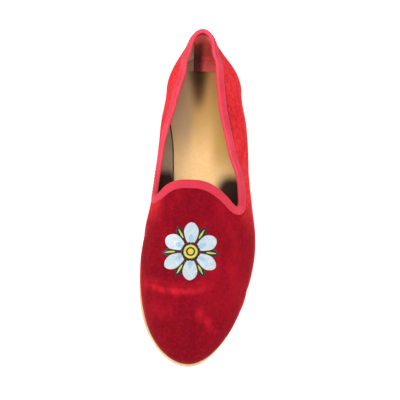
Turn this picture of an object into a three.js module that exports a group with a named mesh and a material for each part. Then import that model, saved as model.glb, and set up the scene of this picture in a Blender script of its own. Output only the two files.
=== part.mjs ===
// Velvet loafer of the smoking-slipper kind, for the left foot, standing empty on its sole.
// Millimetres, +Z up. The toe points along -Y, the heel along +Y, and +X is the outer (lateral) side.
// A station is a fraction of the length, from 0 at the heel's back to 1 at the toe.
import * as THREE from "three";

// Driving dimensions
const LENGTH = 258;
const BALL_WIDTH = 83;
const INSTEP = 62;
const BACK_HEIGHT = 64;
const HEEL_HEIGHT = 9;
const OUTSOLE = 4;
const LIFT = 3.5;
const WALL = 1.9;
const INSOLE = 3;
const BINDING_WIDTH = 5.6;
const TAPE = 0.75;
const FOLD_HEIGHT = 0.8;
const FOLD_BULGE = 0.34;
const GAP = 0.3;

// Last: half widths and crest over the ball width and instep, girth line in mm over the sole's top.
// The fullness columns are exponents: a higher one is a steeper wall with a tighter shoulder.
const HEEL_CENTRE = 0.14;
const SECTIONS = [
  { at: 0.14, medial: 0.338, lateral: 0.35, crestX: -0.03, crestZ: 1.19, girth: 9.5 },
  { at: 0.25, medial: 0.37, lateral: 0.4, crestX: -0.045, crestZ: 1.13, girth: 10 },
  { at: 0.4, medial: 0.405, lateral: 0.435, crestX: -0.055, crestZ: 1.04, girth: 10.5 },
  { at: 0.5, medial: 0.43, lateral: 0.467, crestX: -0.055, crestZ: 0.925, girth: 11 },
  { at: 0.6, medial: 0.478, lateral: 0.505, crestX: -0.05, crestZ: 0.78, girth: 10 },
  { at: 0.7, medial: 0.5, lateral: 0.518, crestX: -0.045, crestZ: 0.655, girth: 9 },
  { at: 0.85, medial: 0.5, lateral: 0.518, crestX: -0.05, crestZ: 0.55, girth: 7.5 },
  { at: 1, medial: 0.5, lateral: 0.518, crestX: -0.056, crestZ: 0.5, girth: 6.5 },
];
const FULLNESS = [
  { at: 0.14, medial: 1.6, lateral: 1.22, crest: 1.35 },
  { at: 0.25, medial: 1.63, lateral: 0.86, crest: 1.6 },
  { at: 0.4, medial: 4.2, lateral: 1.4, crest: 1.6 },
  { at: 0.5, medial: 5, lateral: 2.45, crest: 1.75 },
  { at: 0.6, medial: 3.4, lateral: 2.4, crest: 1.85 },
  { at: 0.7, medial: 2.6, lateral: 2.15, crest: 1.95 },
  { at: 0.85, medial: 2.2, lateral: 2.1, crest: 2 },
  { at: 1, medial: 2.2, lateral: 2.2, crest: 2 },
];
const HEEL_SQUARENESS = 1.85;
const BACK = { crest: 92, side: 2.34, fullness: 1.6, sharpness: 9 };
const TOE_STARTS = { medial: 0.645, lateral: 0.58, crest: 0.87 };
const TOE_SQUARENESS = 2.02;
const TOE_BEND = [
  { at: 0, x: 0 },
  { at: 0.62, x: 0 },
  { at: 0.8, x: -2.2 },
  { at: 1, x: -4.6 },
];

// Sole: its top's height over the floor, and how far its edge lies inside the girth.
// The wall tucks in by the feather beyond that edge, and its turned-in margin lies under the insole.
const SEAT = HEEL_HEIGHT + OUTSOLE;
const BED = [
  { at: 0, height: SEAT },
  { at: 0.17, height: SEAT },
  { at: 0.27, height: 12 },
  { at: 0.4, height: 8.2 },
  { at: 0.52, height: 4.9 },
  { at: 0.6, height: OUTSOLE },
  { at: 0.74, height: OUTSOLE },
  { at: 0.86, height: 5.8 },
  { at: 1, height: 10.5 },
];
const SOLE_EDGE = [
  { at: 0, medial: 2, lateral: 2 },
  { at: 0.25, medial: 2.6, lateral: 2.6 },
  { at: 0.42, medial: 6, lateral: 4 },
  { at: 0.55, medial: 3.4, lateral: 3 },
  { at: 0.68, medial: 0.2, lateral: 2 },
  { at: 0.85, medial: -0.8, lateral: 1.8 },
  { at: 1, medial: 0.6, lateral: 1.6 },
];
const FEATHER = 1.6;
const INNER_FEATHER = 2.4;
const MARGIN = 8;
const EDGE_ROUNDING = 0.7;
const BREAST = 0.24;
const BREAST_LEAD = 2;
const STACK_INSET = 0.4;
const HEEL_TAPER = 1.2;
const LIFT_BEVEL = 0.5;

// Opening: heights of the topline over the floor, the two notches and the throat's tongue.
const TOPLINE = [
  { at: 0.14, medial: 60, lateral: 60.5 },
  { at: 0.25, medial: 52, lateral: 53 },
  { at: 0.4, medial: 43.5, lateral: 46.5 },
  { at: 0.5, medial: 38.5, lateral: 42.5 },
  { at: 0.58, medial: 36, lateral: 39.5 },
];
const NOTCH = { medial: 0.556, lateral: 0.582, rounding: 11 };
const THROAT = { at: 0.514, x: -5, medial: 3, lateral: 2.1 };

// Mesh density
const HEEL_STEPS = 8;
const QUARTER_STEPS = 16;
const VAMP_STEPS = 22;
const WALL_ROWS = 9;
const TUCK_ROWS = 3;
const NOTCH_LEAD = 0.03;
const NOTCH_CROWDING = 1.3;
const WALL_CROWDING = 1.25;
const TOE_START = 0.7;

// Embroidered motif on the vamp: centre, size and number of petals
const MOTIF = { at: 0.705, x: -5.5, radius: 21, petals: 6, depth: 0.16, lift: 0.45, thickness: 0.7 };

// Pad inside the back of the heel: meridians to each side of its middle, and its thickness
const GRIP = { reach: 2, thickness: 0.8 };

const MEDIAL = -1;
const LATERAL = 1;

// Tables

function slope(table, name, i) {
  if (i === 0 || i === table.length - 1) return 0;
  const before = (table[i][name] - table[i - 1][name]) / (table[i].at - table[i - 1].at);
  const after = (table[i + 1][name] - table[i][name]) / (table[i + 1].at - table[i].at);
  if (before * after <= 0) return 0;
  const reach = table[i].at - table[i - 1].at;
  const next = table[i + 1].at - table[i].at;
  const first = 2 * next + reach;
  const second = next + 2 * reach;
  return (first + second) / (first / before + second / after);
}

// A column's value at a station: a cubic that never overshoots its rows and is level at both ends.
function column(table, name, at) {
  const last = table.length - 1;
  const x = THREE.MathUtils.clamp(at, table[0].at, table[last].at);
  let i = 0;
  while (i < last - 1 && x >= table[i + 1].at) i += 1;
  const width = table[i + 1].at - table[i].at;
  const t = (x - table[i].at) / width;
  const rise = t * t * (3 - 2 * t);
  const lead = t * (1 - t) * (1 - t) * slope(table, name, i);
  const trail = t * t * (t - 1) * slope(table, name, i + 1);
  return table[i][name] * (1 - rise) + table[i + 1][name] * rise + width * (lead + trail);
}

function blend(a, b, k) {
  return a * (1 - k) + b * k;
}

// Last

function toeRounding(at, start) {
  const u = THREE.MathUtils.clamp((at - start) / (1 - start), 0, 1);
  return Math.pow(Math.max(1 - Math.pow(u, TOE_SQUARENESS), 0), 1 / TOE_SQUARENESS);
}

function crestX(at) {
  return column(SECTIONS, "crestX", at) * BALL_WIDTH;
}

function girthX(at, side) {
  const name = side === MEDIAL ? "medial" : "lateral";
  const width = column(SECTIONS, name, at) * toeRounding(at, TOE_STARTS[name]);
  return side * width * BALL_WIDTH + column(TOE_BEND, "x", at);
}

function bed(at) {
  return column(BED, "height", at);
}

function girthZ(at) {
  const station = Math.max(at, HEEL_CENTRE);
  return bed(station) + column(SECTIONS, "girth", station);
}

function crestZ(at) {
  const low = girthZ(at);
  const high = column(SECTIONS, "crestZ", at) * INSTEP;
  return blend(low, high, toeRounding(at, TOE_STARTS.crest));
}

// Distance from the heel's centre to the girth, in the direction phi: 0 is back, positive is lateral.
function heelReach(phi) {
  const side = phi < 0 ? MEDIAL : LATERAL;
  const across = Math.abs(girthX(HEEL_CENTRE, side) - crestX(HEEL_CENTRE));
  const p = HEEL_SQUARENESS;
  const along = Math.pow(Math.abs(Math.cos(phi)) / (HEEL_CENTRE * LENGTH), p);
  return Math.pow(along + Math.pow(Math.abs(Math.sin(phi)) / across, p), -1 / p);
}

// The section law at a plan point: how far out it lies, and its section's heights and fullness.
function sectionAt(s, x) {
  const at = THREE.MathUtils.clamp(s / LENGTH, HEEL_CENTRE, 1);
  const crest = crestX(at);
  const side = x < crest ? MEDIAL : LATERAL;
  const width = Math.max(Math.abs(girthX(at, side) - crest), 1e-3);
  const law = {
    out: Math.abs(x - crest) / width,
    girth: girthZ(at),
    crest: crestZ(at),
    side: column(FULLNESS, side === MEDIAL ? "medial" : "lateral", at),
    top: column(FULLNESS, "crest", at),
  };
  const behind = HEEL_CENTRE * LENGTH - s;
  if (behind > 0) {
    const phi = Math.atan2(x - crest, behind);
    const k = Math.pow(Math.cos(phi), BACK.sharpness);
    law.out = Math.hypot(behind, x - crest) / heelReach(phi);
    law.crest = blend(law.crest, BACK.crest, k);
    law.side = blend(law.side, BACK.side, k);
    law.top = blend(law.top, BACK.fullness, k);
  }
  return law;
}

function skinZ(s, x) {
  const law = sectionAt(s, x);
  const inside = 1 - Math.pow(Math.min(law.out, 1), law.side);
  return law.girth + (law.crest - law.girth) * Math.pow(inside, 1 / law.top);
}

// Zero on the upper's outer surface, positive outside it; a point is (s from the heel's back, x, z).
function skinError(p) {
  const law = sectionAt(p.x, p.y);
  const rise = Math.max(p.z - law.girth, 0) / (law.crest - law.girth);
  return Math.pow(rise, law.top) + Math.pow(law.out, law.side) - 1;
}

const PROBE = 0.02;
const AXES = [new THREE.Vector3(PROBE, 0, 0), new THREE.Vector3(0, PROBE, 0), new THREE.Vector3(0, 0, PROBE)];

function skinGradient(p) {
  const parts = AXES.map((step) => {
    const ahead = skinError(p.clone().add(step));
    const behind = skinError(p.clone().sub(step));
    return (ahead - behind) / (2 * PROBE);
  });
  return new THREE.Vector3(...parts);
}

function skinNormal(p) {
  return skinGradient(p).normalize();
}

function ontoSkin(point) {
  const p = point.clone();
  for (let step = 0; step < 4; step += 1) {
    const gradient = skinGradient(p);
    p.addScaledVector(gradient, -skinError(p) / gradient.lengthSq());
  }
  return p;
}

// Plan curves, as lists of points (s, x)

function wallX(at, z, side) {
  const low = girthZ(at);
  const rise = THREE.MathUtils.clamp((z - low) / (crestZ(at) - low), 0, 1);
  const top = column(FULLNESS, "crest", at);
  const fullness = column(FULLNESS, side === MEDIAL ? "medial" : "lateral", at);
  const out = Math.pow(1 - Math.pow(rise, top), 1 / fullness);
  return blend(crestX(at), girthX(at, side), out);
}

function fanPoint(phi, out) {
  const reach = heelReach(phi) * out;
  const s = HEEL_CENTRE * LENGTH - reach * Math.cos(phi);
  return new THREE.Vector2(s, crestX(HEEL_CENTRE) + reach * Math.sin(phi));
}

function toplineFanPoint(phi) {
  const name = phi < 0 ? "medial" : "lateral";
  const k = Math.pow(Math.cos(phi), BACK.sharpness);
  const z = blend(column(TOPLINE, name, HEEL_CENTRE), BACK_HEIGHT, k);
  const low = girthZ(HEEL_CENTRE);
  const rise = (z - low) / (blend(crestZ(HEEL_CENTRE), BACK.crest, k) - low);
  const top = blend(column(FULLNESS, "crest", HEEL_CENTRE), BACK.fullness, k);
  const side = blend(column(FULLNESS, name, HEEL_CENTRE), BACK.side, k);
  return fanPoint(phi, Math.pow(1 - Math.pow(rise, top), 1 / side));
}

function range(count, make) {
  return Array.from({ length: count + 1 }, (unused, i) => make(i / count));
}

// The topline of one quarter, from the back's middle to its notch.
function quarterTopline(side) {
  const name = side === MEDIAL ? "medial" : "lateral";
  const fan = range(24, (t) => toplineFanPoint(side * t * Math.PI * 0.5));
  const run = range(60, (t) => {
    const at = blend(HEEL_CENTRE, NOTCH[name], t);
    return new THREE.Vector2(at * LENGTH, wallX(at, column(TOPLINE, name, at), side));
  });
  return fan.slice(0, -1).concat(run);
}

// The throat's edge, from a notch to the middle of its tongue.
function throatEdge(side, notch) {
  const power = side === MEDIAL ? THROAT.medial : THROAT.lateral;
  return range(60, (t) => {
    const u = 1 - t;
    const s = blend(THROAT.at * LENGTH, notch.x, Math.pow(u, power));
    return new THREE.Vector2(s, blend(THROAT.x, notch.y, u));
  });
}

function lengths(points) {
  const sums = [0];
  for (let i = 1; i < points.length; i += 1) {
    sums.push(sums[i - 1] + points[i].distanceTo(points[i - 1]));
  }
  return sums;
}

function pointAtLength(points, sums, wanted) {
  const d = THREE.MathUtils.clamp(wanted, 0, sums[sums.length - 1]);
  let i = 0;
  while (i < points.length - 2 && sums[i + 1] < d) i += 1;
  return points[i].clone().lerp(points[i + 1], (d - sums[i]) / (sums[i + 1] - sums[i]));
}

// count steps along a curve, closer together towards its end when crowding is over 1.
function resample(points, count, crowding = 1) {
  const sums = lengths(points);
  const total = sums[sums.length - 1];
  return range(count, (t) => pointAtLength(points, sums, total * (1 - Math.pow(1 - t, crowding))));
}

// One side of the opening, with its notch rounded: the quarter's part and the throat's part.
function openingSide(side) {
  const quarter = quarterTopline(side);
  const notch = quarter[quarter.length - 1];
  const path = quarter.concat(throatEdge(side, notch).slice(1));
  const sums = lengths(path);
  const corner = sums[quarter.length - 1];
  const start = pointAtLength(path, sums, corner - NOTCH.rounding);
  const end = pointAtLength(path, sums, corner + NOTCH.rounding);
  const curve = new THREE.QuadraticBezierCurve(start, notch, end);
  const before = path.filter((p, i) => sums[i] < corner - NOTCH.rounding);
  const after = path.filter((p, i) => sums[i] > corner + NOTCH.rounding);
  const first = range(12, (t) => curve.getPoint(t * 0.5));
  const second = range(12, (t) => curve.getPoint(0.5 + t * 0.5));
  return { quarter: before.concat(first), throat: second.concat(after) };
}

function girthSide(side) {
  const fan = range(40, (t) => fanPoint(side * t * Math.PI * 0.5, 1));
  const straight = range(160, (t) => blend(HEEL_CENTRE, TOE_START, t));
  const rounded = range(160, (t) => blend(TOE_START, 1, Math.sin(t * Math.PI * 0.5)));
  const stations = straight.concat(rounded.slice(1));
  const run = stations.map((at) => new THREE.Vector2(at * LENGTH, girthX(at, side)));
  return fan.slice(0, -1).concat(run);
}

// A side's plan curve cut at its notch and resampled, from the back's middle to the toe or throat.
function meridianEnds(quarter, vamp, crowding) {
  const first = resample(quarter, HEEL_STEPS + QUARTER_STEPS, crowding);
  const second = resample(vamp.slice().reverse(), VAMP_STEPS, crowding).reverse();
  return first.concat(second.slice(1));
}

function girthEnds(side) {
  const curve = girthSide(side);
  const cut = (NOTCH[side === MEDIAL ? "medial" : "lateral"] + NOTCH_LEAD) * LENGTH;
  const quarter = curve.filter((p) => p.x <= cut);
  const vamp = curve.filter((p) => p.x >= cut);
  return meridianEnds(quarter, [quarter[quarter.length - 1]].concat(vamp), 1);
}

function openingEnds(side) {
  const edge = openingSide(side);
  return meridianEnds(edge.quarter, edge.throat, NOTCH_CROWDING);
}

// A loop round the shoe: medial side from back to toe, then the lateral side from toe to back.
function closeLoop(medial, lateral) {
  return medial.concat(lateral.slice(1, -1).reverse());
}

function outwardNormals(loop) {
  return loop.map((point, i) => {
    const next = loop[(i + 1) % loop.length];
    const last = loop[(i + loop.length - 1) % loop.length];
    return new THREE.Vector2(last.y - next.y, next.x - last.x).normalize().negate();
  });
}

// Meridians: one for each point of the loop, from the opening's edge over the wall to the feather

const NEAR_EDGE = [0, BINDING_WIDTH / 2, BINDING_WIDTH, BINDING_WIDTH + 2 * GAP];
const girthLoop = closeLoop(girthEnds(MEDIAL), girthEnds(LATERAL));
const girthNormals = outwardNormals(girthLoop);
const openingLoop = closeLoop(openingEnds(MEDIAL), openingEnds(LATERAL)).map(
  (p) => new THREE.Vector3(p.x, p.y, skinZ(p.x, p.y)),
);
const COUNT = girthLoop.length;

function station(i) {
  return girthLoop[i].x / LENGTH;
}

function soleEdge(i) {
  const share = THREE.MathUtils.smoothstep(girthLoop[i].y, -BALL_WIDTH / 4, BALL_WIDTH / 4);
  const at = station(i);
  return blend(column(SOLE_EDGE, "medial", at), column(SOLE_EDGE, "lateral", at), share);
}

function planInset(i, inset, z) {
  const p = girthLoop[i].clone().addScaledVector(girthNormals[i], -inset);
  return new THREE.Vector3(p.x, p.y, z);
}

// Points on the surface at set distances from the opening's edge, at a right angle to it.
function edgeRows(i) {
  const start = openingLoop[i];
  const next = openingLoop[(i + 1) % COUNT];
  const last = openingLoop[(i + COUNT - 1) % COUNT];
  const tangent = next.clone().sub(last).normalize();
  const rows = [start];
  let p = start;
  for (let k = 1; k < NEAR_EDGE.length; k += 1) {
    const stride = (NEAR_EDGE[k] - NEAR_EDGE[k - 1]) / 3;
    for (let step = 0; step < 3; step += 1) {
      const down = tangent.clone().cross(skinNormal(p)).normalize();
      p = ontoSkin(p.clone().addScaledVector(down, stride));
    }
    rows.push(p);
  }
  return rows;
}

// From the last edge row to the girth, closer together towards the girth.
function wallRows(i, start) {
  const foot = girthLoop[i];
  const path = range(60, (t) => {
    const k = Math.sin(t * Math.PI * 0.5);
    const s = blend(start.x, foot.x, k);
    const x = blend(start.y, foot.y, k);
    return new THREE.Vector3(s, x, t === 1 ? girthZ(station(i)) : skinZ(s, x));
  });
  return resample(path, WALL_ROWS, WALL_CROWDING).slice(1);
}

// Below the girth the wall turns in to the feather line as a quarter of an ellipse.
function tuckPoint(i, turn, inset, reach, floor) {
  const girth = girthZ(station(i));
  const z = blend(girth, floor, Math.sin(turn));
  return planInset(i, inset + reach * (1 - Math.cos(turn)), z);
}

function featherZ(i) {
  return bed(station(i)) + GAP;
}

function outerTuck(i, turn) {
  return tuckPoint(i, turn, 0, soleEdge(i) + FEATHER, featherZ(i));
}

function innerReach(i) {
  return soleEdge(i) + INNER_FEATHER - WALL;
}

function innerTuck(i, turn) {
  return tuckPoint(i, turn, WALL, innerReach(i), featherZ(i) + WALL);
}

function offsetRow(row, normals, distance) {
  return row.map((p, i) => p.clone().addScaledVector(normals[i], distance));
}

function transpose(lists) {
  return lists[0].map((unused, k) => lists.map((list) => list[k]));
}

const nearRows = transpose(girthLoop.map((unused, i) => edgeRows(i)));
const midRows = transpose(girthLoop.map((unused, i) => wallRows(i, nearRows[nearRows.length - 1][i])));
const nearNormals = nearRows.map((row) => row.map(skinNormal));
const midNormals = midRows.map((row, k) =>
  row.map((p, i) => {
    if (k < midRows.length - 1) return skinNormal(p);
    return new THREE.Vector3(girthNormals[i].x, girthNormals[i].y, 0);
  }),
);
const turns = range(TUCK_ROWS, (t) => t * Math.PI * 0.5).slice(1);

// Meshes

// Shoe points (s, x, z) become part points: y runs from the toe to the heel.
function makeMesh(name, points, triangles, look) {
  const data = points.flatMap((p) => [p.y, -p.x, p.z]);
  let volume = 0;
  for (const [a, b, c] of triangles) volume += points[a].dot(points[b].clone().cross(points[c]));
  const faces = volume > 0 ? triangles : triangles.map(([a, b, c]) => [a, c, b]);
  const geometry = new THREE.BufferGeometry();
  geometry.setAttribute("position", new THREE.Float32BufferAttribute(data, 3));
  geometry.setIndex(faces.flat());
  geometry.computeVertexNormals();
  const mesh = new THREE.Mesh(geometry, new THREE.MeshStandardMaterial(look));
  mesh.name = name;
  return mesh;
}

function bridge(triangles, lower, upper, count, closed) {
  const last = closed ? count : count - 1;
  for (let i = 0; i < last; i += 1) {
    const j = (i + 1) % count;
    triangles.push([lower + i, lower + j, upper + j], [lower + i, upper + j, upper + i]);
  }
}

// A closed ring of sections: every row is a loop round the shoe, and the last row meets the first.
function ringSolid(name, rows, look) {
  const triangles = [];
  rows.forEach((row, k) => {
    bridge(triangles, k * row.length, ((k + 1) % rows.length) * row.length, row.length, true);
  });
  return makeMesh(name, rows.flat(), triangles, look);
}

// Rungs across a loop whose point i faces point (count - i).
function ladder(triangles, base, count, up) {
  const add = (a, b, c) => {
    const [second, third] = up ? [b, c] : [c, b];
    triangles.push([base + a, base + second, base + third]);
  };
  add(0, 1, count - 1);
  for (let i = 1; i < count - i - 1; i += 1) {
    add(i, i + 1, count - i);
    if (i + 1 < count - i - 1) add(i + 1, count - i - 1, count - i);
  }
}

// Loops stacked from the bottom to the top, closed by a ladder at each end.
function stackSolid(name, rows, look) {
  const count = rows[0].length;
  const triangles = [];
  for (let k = 0; k < rows.length - 1; k += 1) {
    bridge(triangles, k * count, (k + 1) * count, count, true);
  }
  ladder(triangles, 0, count, false);
  ladder(triangles, (rows.length - 1) * count, count, true);
  return makeMesh(name, rows.flat(), triangles, look);
}

// A patch with a face and a back of matching rows.
function patchSolid(name, face, back, look) {
  const rows = face.length;
  const count = face[0].length;
  const triangles = [];
  const size = rows * count;
  for (let k = 0; k < rows - 1; k += 1) {
    bridge(triangles, k * count, (k + 1) * count, count, false);
    bridge(triangles, size + (k + 1) * count, size + k * count, count, false);
  }
  const rim = [];
  for (let i = 0; i < count; i += 1) rim.push(i);
  for (let k = 1; k < rows; k += 1) rim.push(k * count + count - 1);
  for (let i = count - 2; i >= 0; i -= 1) rim.push((rows - 1) * count + i);
  for (let k = rows - 2; k > 0; k -= 1) rim.push(k * count);
  rim.forEach((a, i) => {
    const b = rim[(i + 1) % rim.length];
    triangles.push([b, a, size + a], [b, size + a, size + b]);
  });
  return makeMesh(name, face.flat().concat(back.flat()), triangles, look);
}

// Parts

// Inside width of the folded binding. The wall is skived there, to clear both of its legs.
const CHANNEL = WALL + 0.1;

// The wall ends under the insole, where it is turned in over the sole.
function makeUpper() {
  const last = nearRows.length - 1;
  const outer = nearRows.map((row, k) => offsetRow(row, nearNormals[k], k < last ? -GAP : 0));
  const inner = nearRows.map((row, k) => {
    return offsetRow(row, nearNormals[k], k < last ? GAP - CHANNEL : -WALL);
  });
  const outerWall = midRows;
  const innerWall = midRows.map((row, k) => offsetRow(row, midNormals[k], -WALL));
  const outerTucks = turns.map((turn) => girthLoop.map((unused, i) => outerTuck(i, turn)));
  const innerTucks = turns.map((turn) => girthLoop.map((unused, i) => innerTuck(i, turn)));
  const edge = (raise) =>
    girthLoop.map((unused, i) => planInset(i, soleEdge(i) + FEATHER + MARGIN, featherZ(i) + raise));
  const outside = [...outer, ...outerWall, ...outerTucks, edge(0)];
  const inside = [...inner, ...innerWall, ...innerTucks, edge(WALL)];
  return ringSolid("upper", [...outside, ...inside.reverse()], {
    color: 0xa5122a,
    roughness: 0.95,
    metalness: 0,
  });
}

// Folded tape over the opening's edge: a channel with two legs, swept round the opening.
function makeBinding() {
  const legs = nearRows.length - 1;
  const rows = [];
  const rise = nearRows[0].map((p, i) => p.clone().sub(nearRows[1][i]).normalize());
  const lip = (offset, up) =>
    nearRows[0].map((p, i) => p.clone().addScaledVector(nearNormals[0][i], offset).addScaledVector(rise[i], up));
  for (let k = legs - 1; k >= 0; k -= 1) rows.push(offsetRow(nearRows[k], nearNormals[k], TAPE));
  rows.push(
    lip(FOLD_BULGE, FOLD_HEIGHT),
    lip(-CHANNEL / 2, GAP + TAPE),
    lip(-CHANNEL - FOLD_BULGE, FOLD_HEIGHT),
  );
  for (let k = 0; k < legs; k += 1) rows.push(offsetRow(nearRows[k], nearNormals[k], -CHANNEL - TAPE));
  for (let k = legs - 1; k > 0; k -= 1) rows.push(offsetRow(nearRows[k], nearNormals[k], -CHANNEL));
  rows.push(lip(-CHANNEL, GAP), lip(0, GAP));
  for (let k = 1; k < legs; k += 1) rows.push(nearRows[k]);
  return ringSolid("topline_binding", rows, { color: 0xe23a4f, roughness: 0.7, metalness: 0 });
}

// How far the wall's inner face lies inside the girth at a height over the sole's top.
function innerInset(i, height) {
  const z = bed(station(i)) + height;
  const rows = range(TUCK_ROWS, (t) => {
    const turn = t * Math.PI * 0.5;
    return { z: innerTuck(i, turn).z, inset: WALL + innerReach(i) * (1 - Math.cos(turn)) };
  });
  const k = rows.findIndex((row, n) => n > 0 && row.z <= z);
  const below = k < 0 ? rows[TUCK_ROWS] : rows[k];
  const above = k < 0 ? rows[TUCK_ROWS] : rows[k - 1];
  const share = below === above ? 0 : THREE.MathUtils.clamp((z - below.z) / (above.z - below.z), 0, 1);
  return blend(below.inset, above.inset, share);
}

const INSOLE_UNDER = GAP + WALL + GAP;
const INSOLE_TOP = INSOLE_UNDER + INSOLE;
const FIT = 0.4;

// The insole rests on the turned-in margin, and its filler fills the hollow inside that margin.
function makeInsole() {
  const level = (height) =>
    girthLoop.map((unused, i) => planInset(i, innerInset(i, height) + FIT, bed(station(i)) + height));
  const filler = (height) =>
    girthLoop.map((unused, i) => {
      return planInset(i, soleEdge(i) + FEATHER + MARGIN + FIT, bed(station(i)) + height);
    });
  const rows = [filler(GAP), filler(INSOLE_UNDER), level(INSOLE_UNDER), level(INSOLE_TOP)];
  return stackSolid("insole", rows, { color: 0xd9ad78, roughness: 0.55, metalness: 0 });
}

// Sole loops: the sole's edge line moved in by a further inset, at a height for each station.
function soleLoop(inset, height) {
  return girthLoop.map((unused, i) => planInset(i, soleEdge(i) + inset, height(station(i))));
}

function makeOutsole() {
  const rows = [
    soleLoop(EDGE_ROUNDING, (at) => bed(at) - OUTSOLE),
    soleLoop(0, (at) => bed(at) - OUTSOLE + EDGE_ROUNDING),
    soleLoop(0, (at) => bed(at) - EDGE_ROUNDING),
    soleLoop(EDGE_ROUNDING, (at) => bed(at)),
  ];
  return stackSolid("outsole", rows, { color: 0xcaa06c, roughness: 0.6, metalness: 0 });
}

// The heel's loops stop at the breast, which is one straight face.
function heelLoop(inset, height) {
  const whole = soleLoop(inset, height);
  const breast = BREAST * LENGTH;
  const half = COUNT / 2;
  const medial = whole.slice(0, half).filter((p) => p.x < breast - BREAST_LEAD);
  const lateral = whole.slice(half + 1).filter((p) => p.x < breast - BREAST_LEAD);
  const count = Math.min(medial.length - 1, lateral.length);
  const corner = (side) => {
    const x = girthX(BREAST, side) - side * (column(SOLE_EDGE, "medial", BREAST) + inset);
    return new THREE.Vector3(breast, x, height(BREAST));
  };
  const left = medial.slice(0, count + 1).concat(corner(MEDIAL));
  const right = lateral.slice(lateral.length - count);
  return left.concat(corner(LATERAL), right);
}

function makeHeelStack() {
  const rows = [
    heelLoop(HEEL_TAPER, () => LIFT + GAP),
    heelLoop(STACK_INSET, (at) => bed(at) - OUTSOLE - GAP - EDGE_ROUNDING),
    heelLoop(STACK_INSET, (at) => bed(at) - OUTSOLE - GAP),
  ];
  return stackSolid("heel_stack", rows, { color: 0x8a5a34, roughness: 0.6, metalness: 0 });
}

function makeHeelLift() {
  const rows = [
    heelLoop(HEEL_TAPER + LIFT_BEVEL, () => 0),
    heelLoop(HEEL_TAPER, () => LIFT_BEVEL),
    heelLoop(HEEL_TAPER, () => LIFT),
  ];
  return stackSolid("heel_top_lift", rows, { color: 0x2b2523, roughness: 0.85, metalness: 0 });
}

// A pad inside the back of the heel, from under the binding down to the insole.
function makeHeelGrip() {
  const around = range(GRIP.reach * 2, (t) => (COUNT + Math.round((t * 2 - 1) * GRIP.reach)) % COUNT);
  const start = nearRows.length - 1;
  const lines = (depth) => {
    const rows = [around.map((i) => nearRows[start][i].clone().addScaledVector(nearNormals[start][i], -depth))];
    midRows.forEach((row, k) => {
      rows.push(around.map((i) => row[i].clone().addScaledVector(midNormals[k][i], -depth)));
    });
    rows.push(
      around.map((i) => {
        const low = INSOLE_TOP + 2 * GAP;
        return planInset(i, innerInset(i, low) + depth - WALL, bed(station(i)) + low);
      }),
    );
    return rows.reverse();
  };
  return patchSolid("heel_grip", lines(WALL + GAP), lines(WALL + GAP + GRIP.thickness), {
    color: 0x8e2434,
    roughness: 0.95,
    metalness: 0,
  });
}

// A flower-shaped piece of embroidery that follows the vamp.
function makeMotif() {
  const angles = 36;
  const rings = 3;
  const layer = (raise) =>
    range(rings, (r) =>
      range(angles, (a) => {
        const turn = a * Math.PI * 2;
        const petal = 1 - MOTIF.depth * (1 - Math.cos(turn * MOTIF.petals)) * 0.5;
        const radius = Math.max(r, 0.04) * MOTIF.radius * petal;
        const s = MOTIF.at * LENGTH + radius * Math.cos(turn);
        const x = MOTIF.x + radius * Math.sin(turn);
        const p = new THREE.Vector3(s, x, skinZ(s, x));
        return p.addScaledVector(skinNormal(p), raise);
      }).slice(0, -1),
    );
  const low = layer(MOTIF.lift);
  const high = layer(MOTIF.lift + MOTIF.thickness);
  return stackSolid("vamp_motif", [...low, ...high.reverse()], {
    color: 0xe9d24e,
    roughness: 0.6,
    metalness: 0,
  });
}

// The group is moved so that its own origin lies at the middle of its footprint, on the floor.
function centre(group) {
  const box = new THREE.Box3().setFromObject(group);
  group.position.set(-(box.min.x + box.max.x) / 2, -(box.min.y + box.max.y) / 2, -box.min.z);
  const shoe = new THREE.Group();
  shoe.add(group);
  return shoe;
}

const pieces = new THREE.Group();
pieces.add(
  makeUpper(),
  makeBinding(),
  makeInsole(),
  makeHeelGrip(),
  makeOutsole(),
  makeHeelStack(),
  makeHeelLift(),
  makeMotif(),
);

export default centre(pieces);
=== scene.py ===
from math import atan2, cos, exp, pi, radians, sin

import bpy
import numpy as np
from mathutils import Matrix, Vector


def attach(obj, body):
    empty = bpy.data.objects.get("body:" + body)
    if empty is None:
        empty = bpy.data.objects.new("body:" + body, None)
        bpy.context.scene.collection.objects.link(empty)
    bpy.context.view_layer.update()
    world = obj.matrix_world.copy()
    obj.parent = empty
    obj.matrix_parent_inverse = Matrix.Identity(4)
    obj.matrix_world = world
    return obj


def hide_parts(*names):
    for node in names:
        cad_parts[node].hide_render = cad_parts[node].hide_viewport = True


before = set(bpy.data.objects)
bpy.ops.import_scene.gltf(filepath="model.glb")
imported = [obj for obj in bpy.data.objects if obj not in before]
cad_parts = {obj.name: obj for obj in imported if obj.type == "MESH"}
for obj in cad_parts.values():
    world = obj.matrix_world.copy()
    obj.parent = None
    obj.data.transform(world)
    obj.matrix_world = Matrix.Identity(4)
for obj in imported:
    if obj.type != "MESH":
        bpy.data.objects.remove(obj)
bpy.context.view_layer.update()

# Velvet loafer for the left foot. Shoe points are (s from the heel's back, x outward, z), in mm.
LENGTH = 258
BALL_WIDTH = 83
INSTEP = 62
BACK_HEIGHT = 64
OUTSOLE = 4
SEAT = 13
LIFT = 3.5
WALL = 1.9
INSOLE = 3
BINDING_WIDTH = 5.6
TAPE = 0.75
GAP = 0.3
CHANNEL = WALL + 0.1
HEEL_CENTRE = 0.14
MEDIAL, LATERAL = -1, 1
SIDES = {MEDIAL: "medial", LATERAL: "lateral"}


def table(names, *rows):
    columns = np.array(rows, float).T
    return dict(zip(names.split(), columns))


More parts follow.
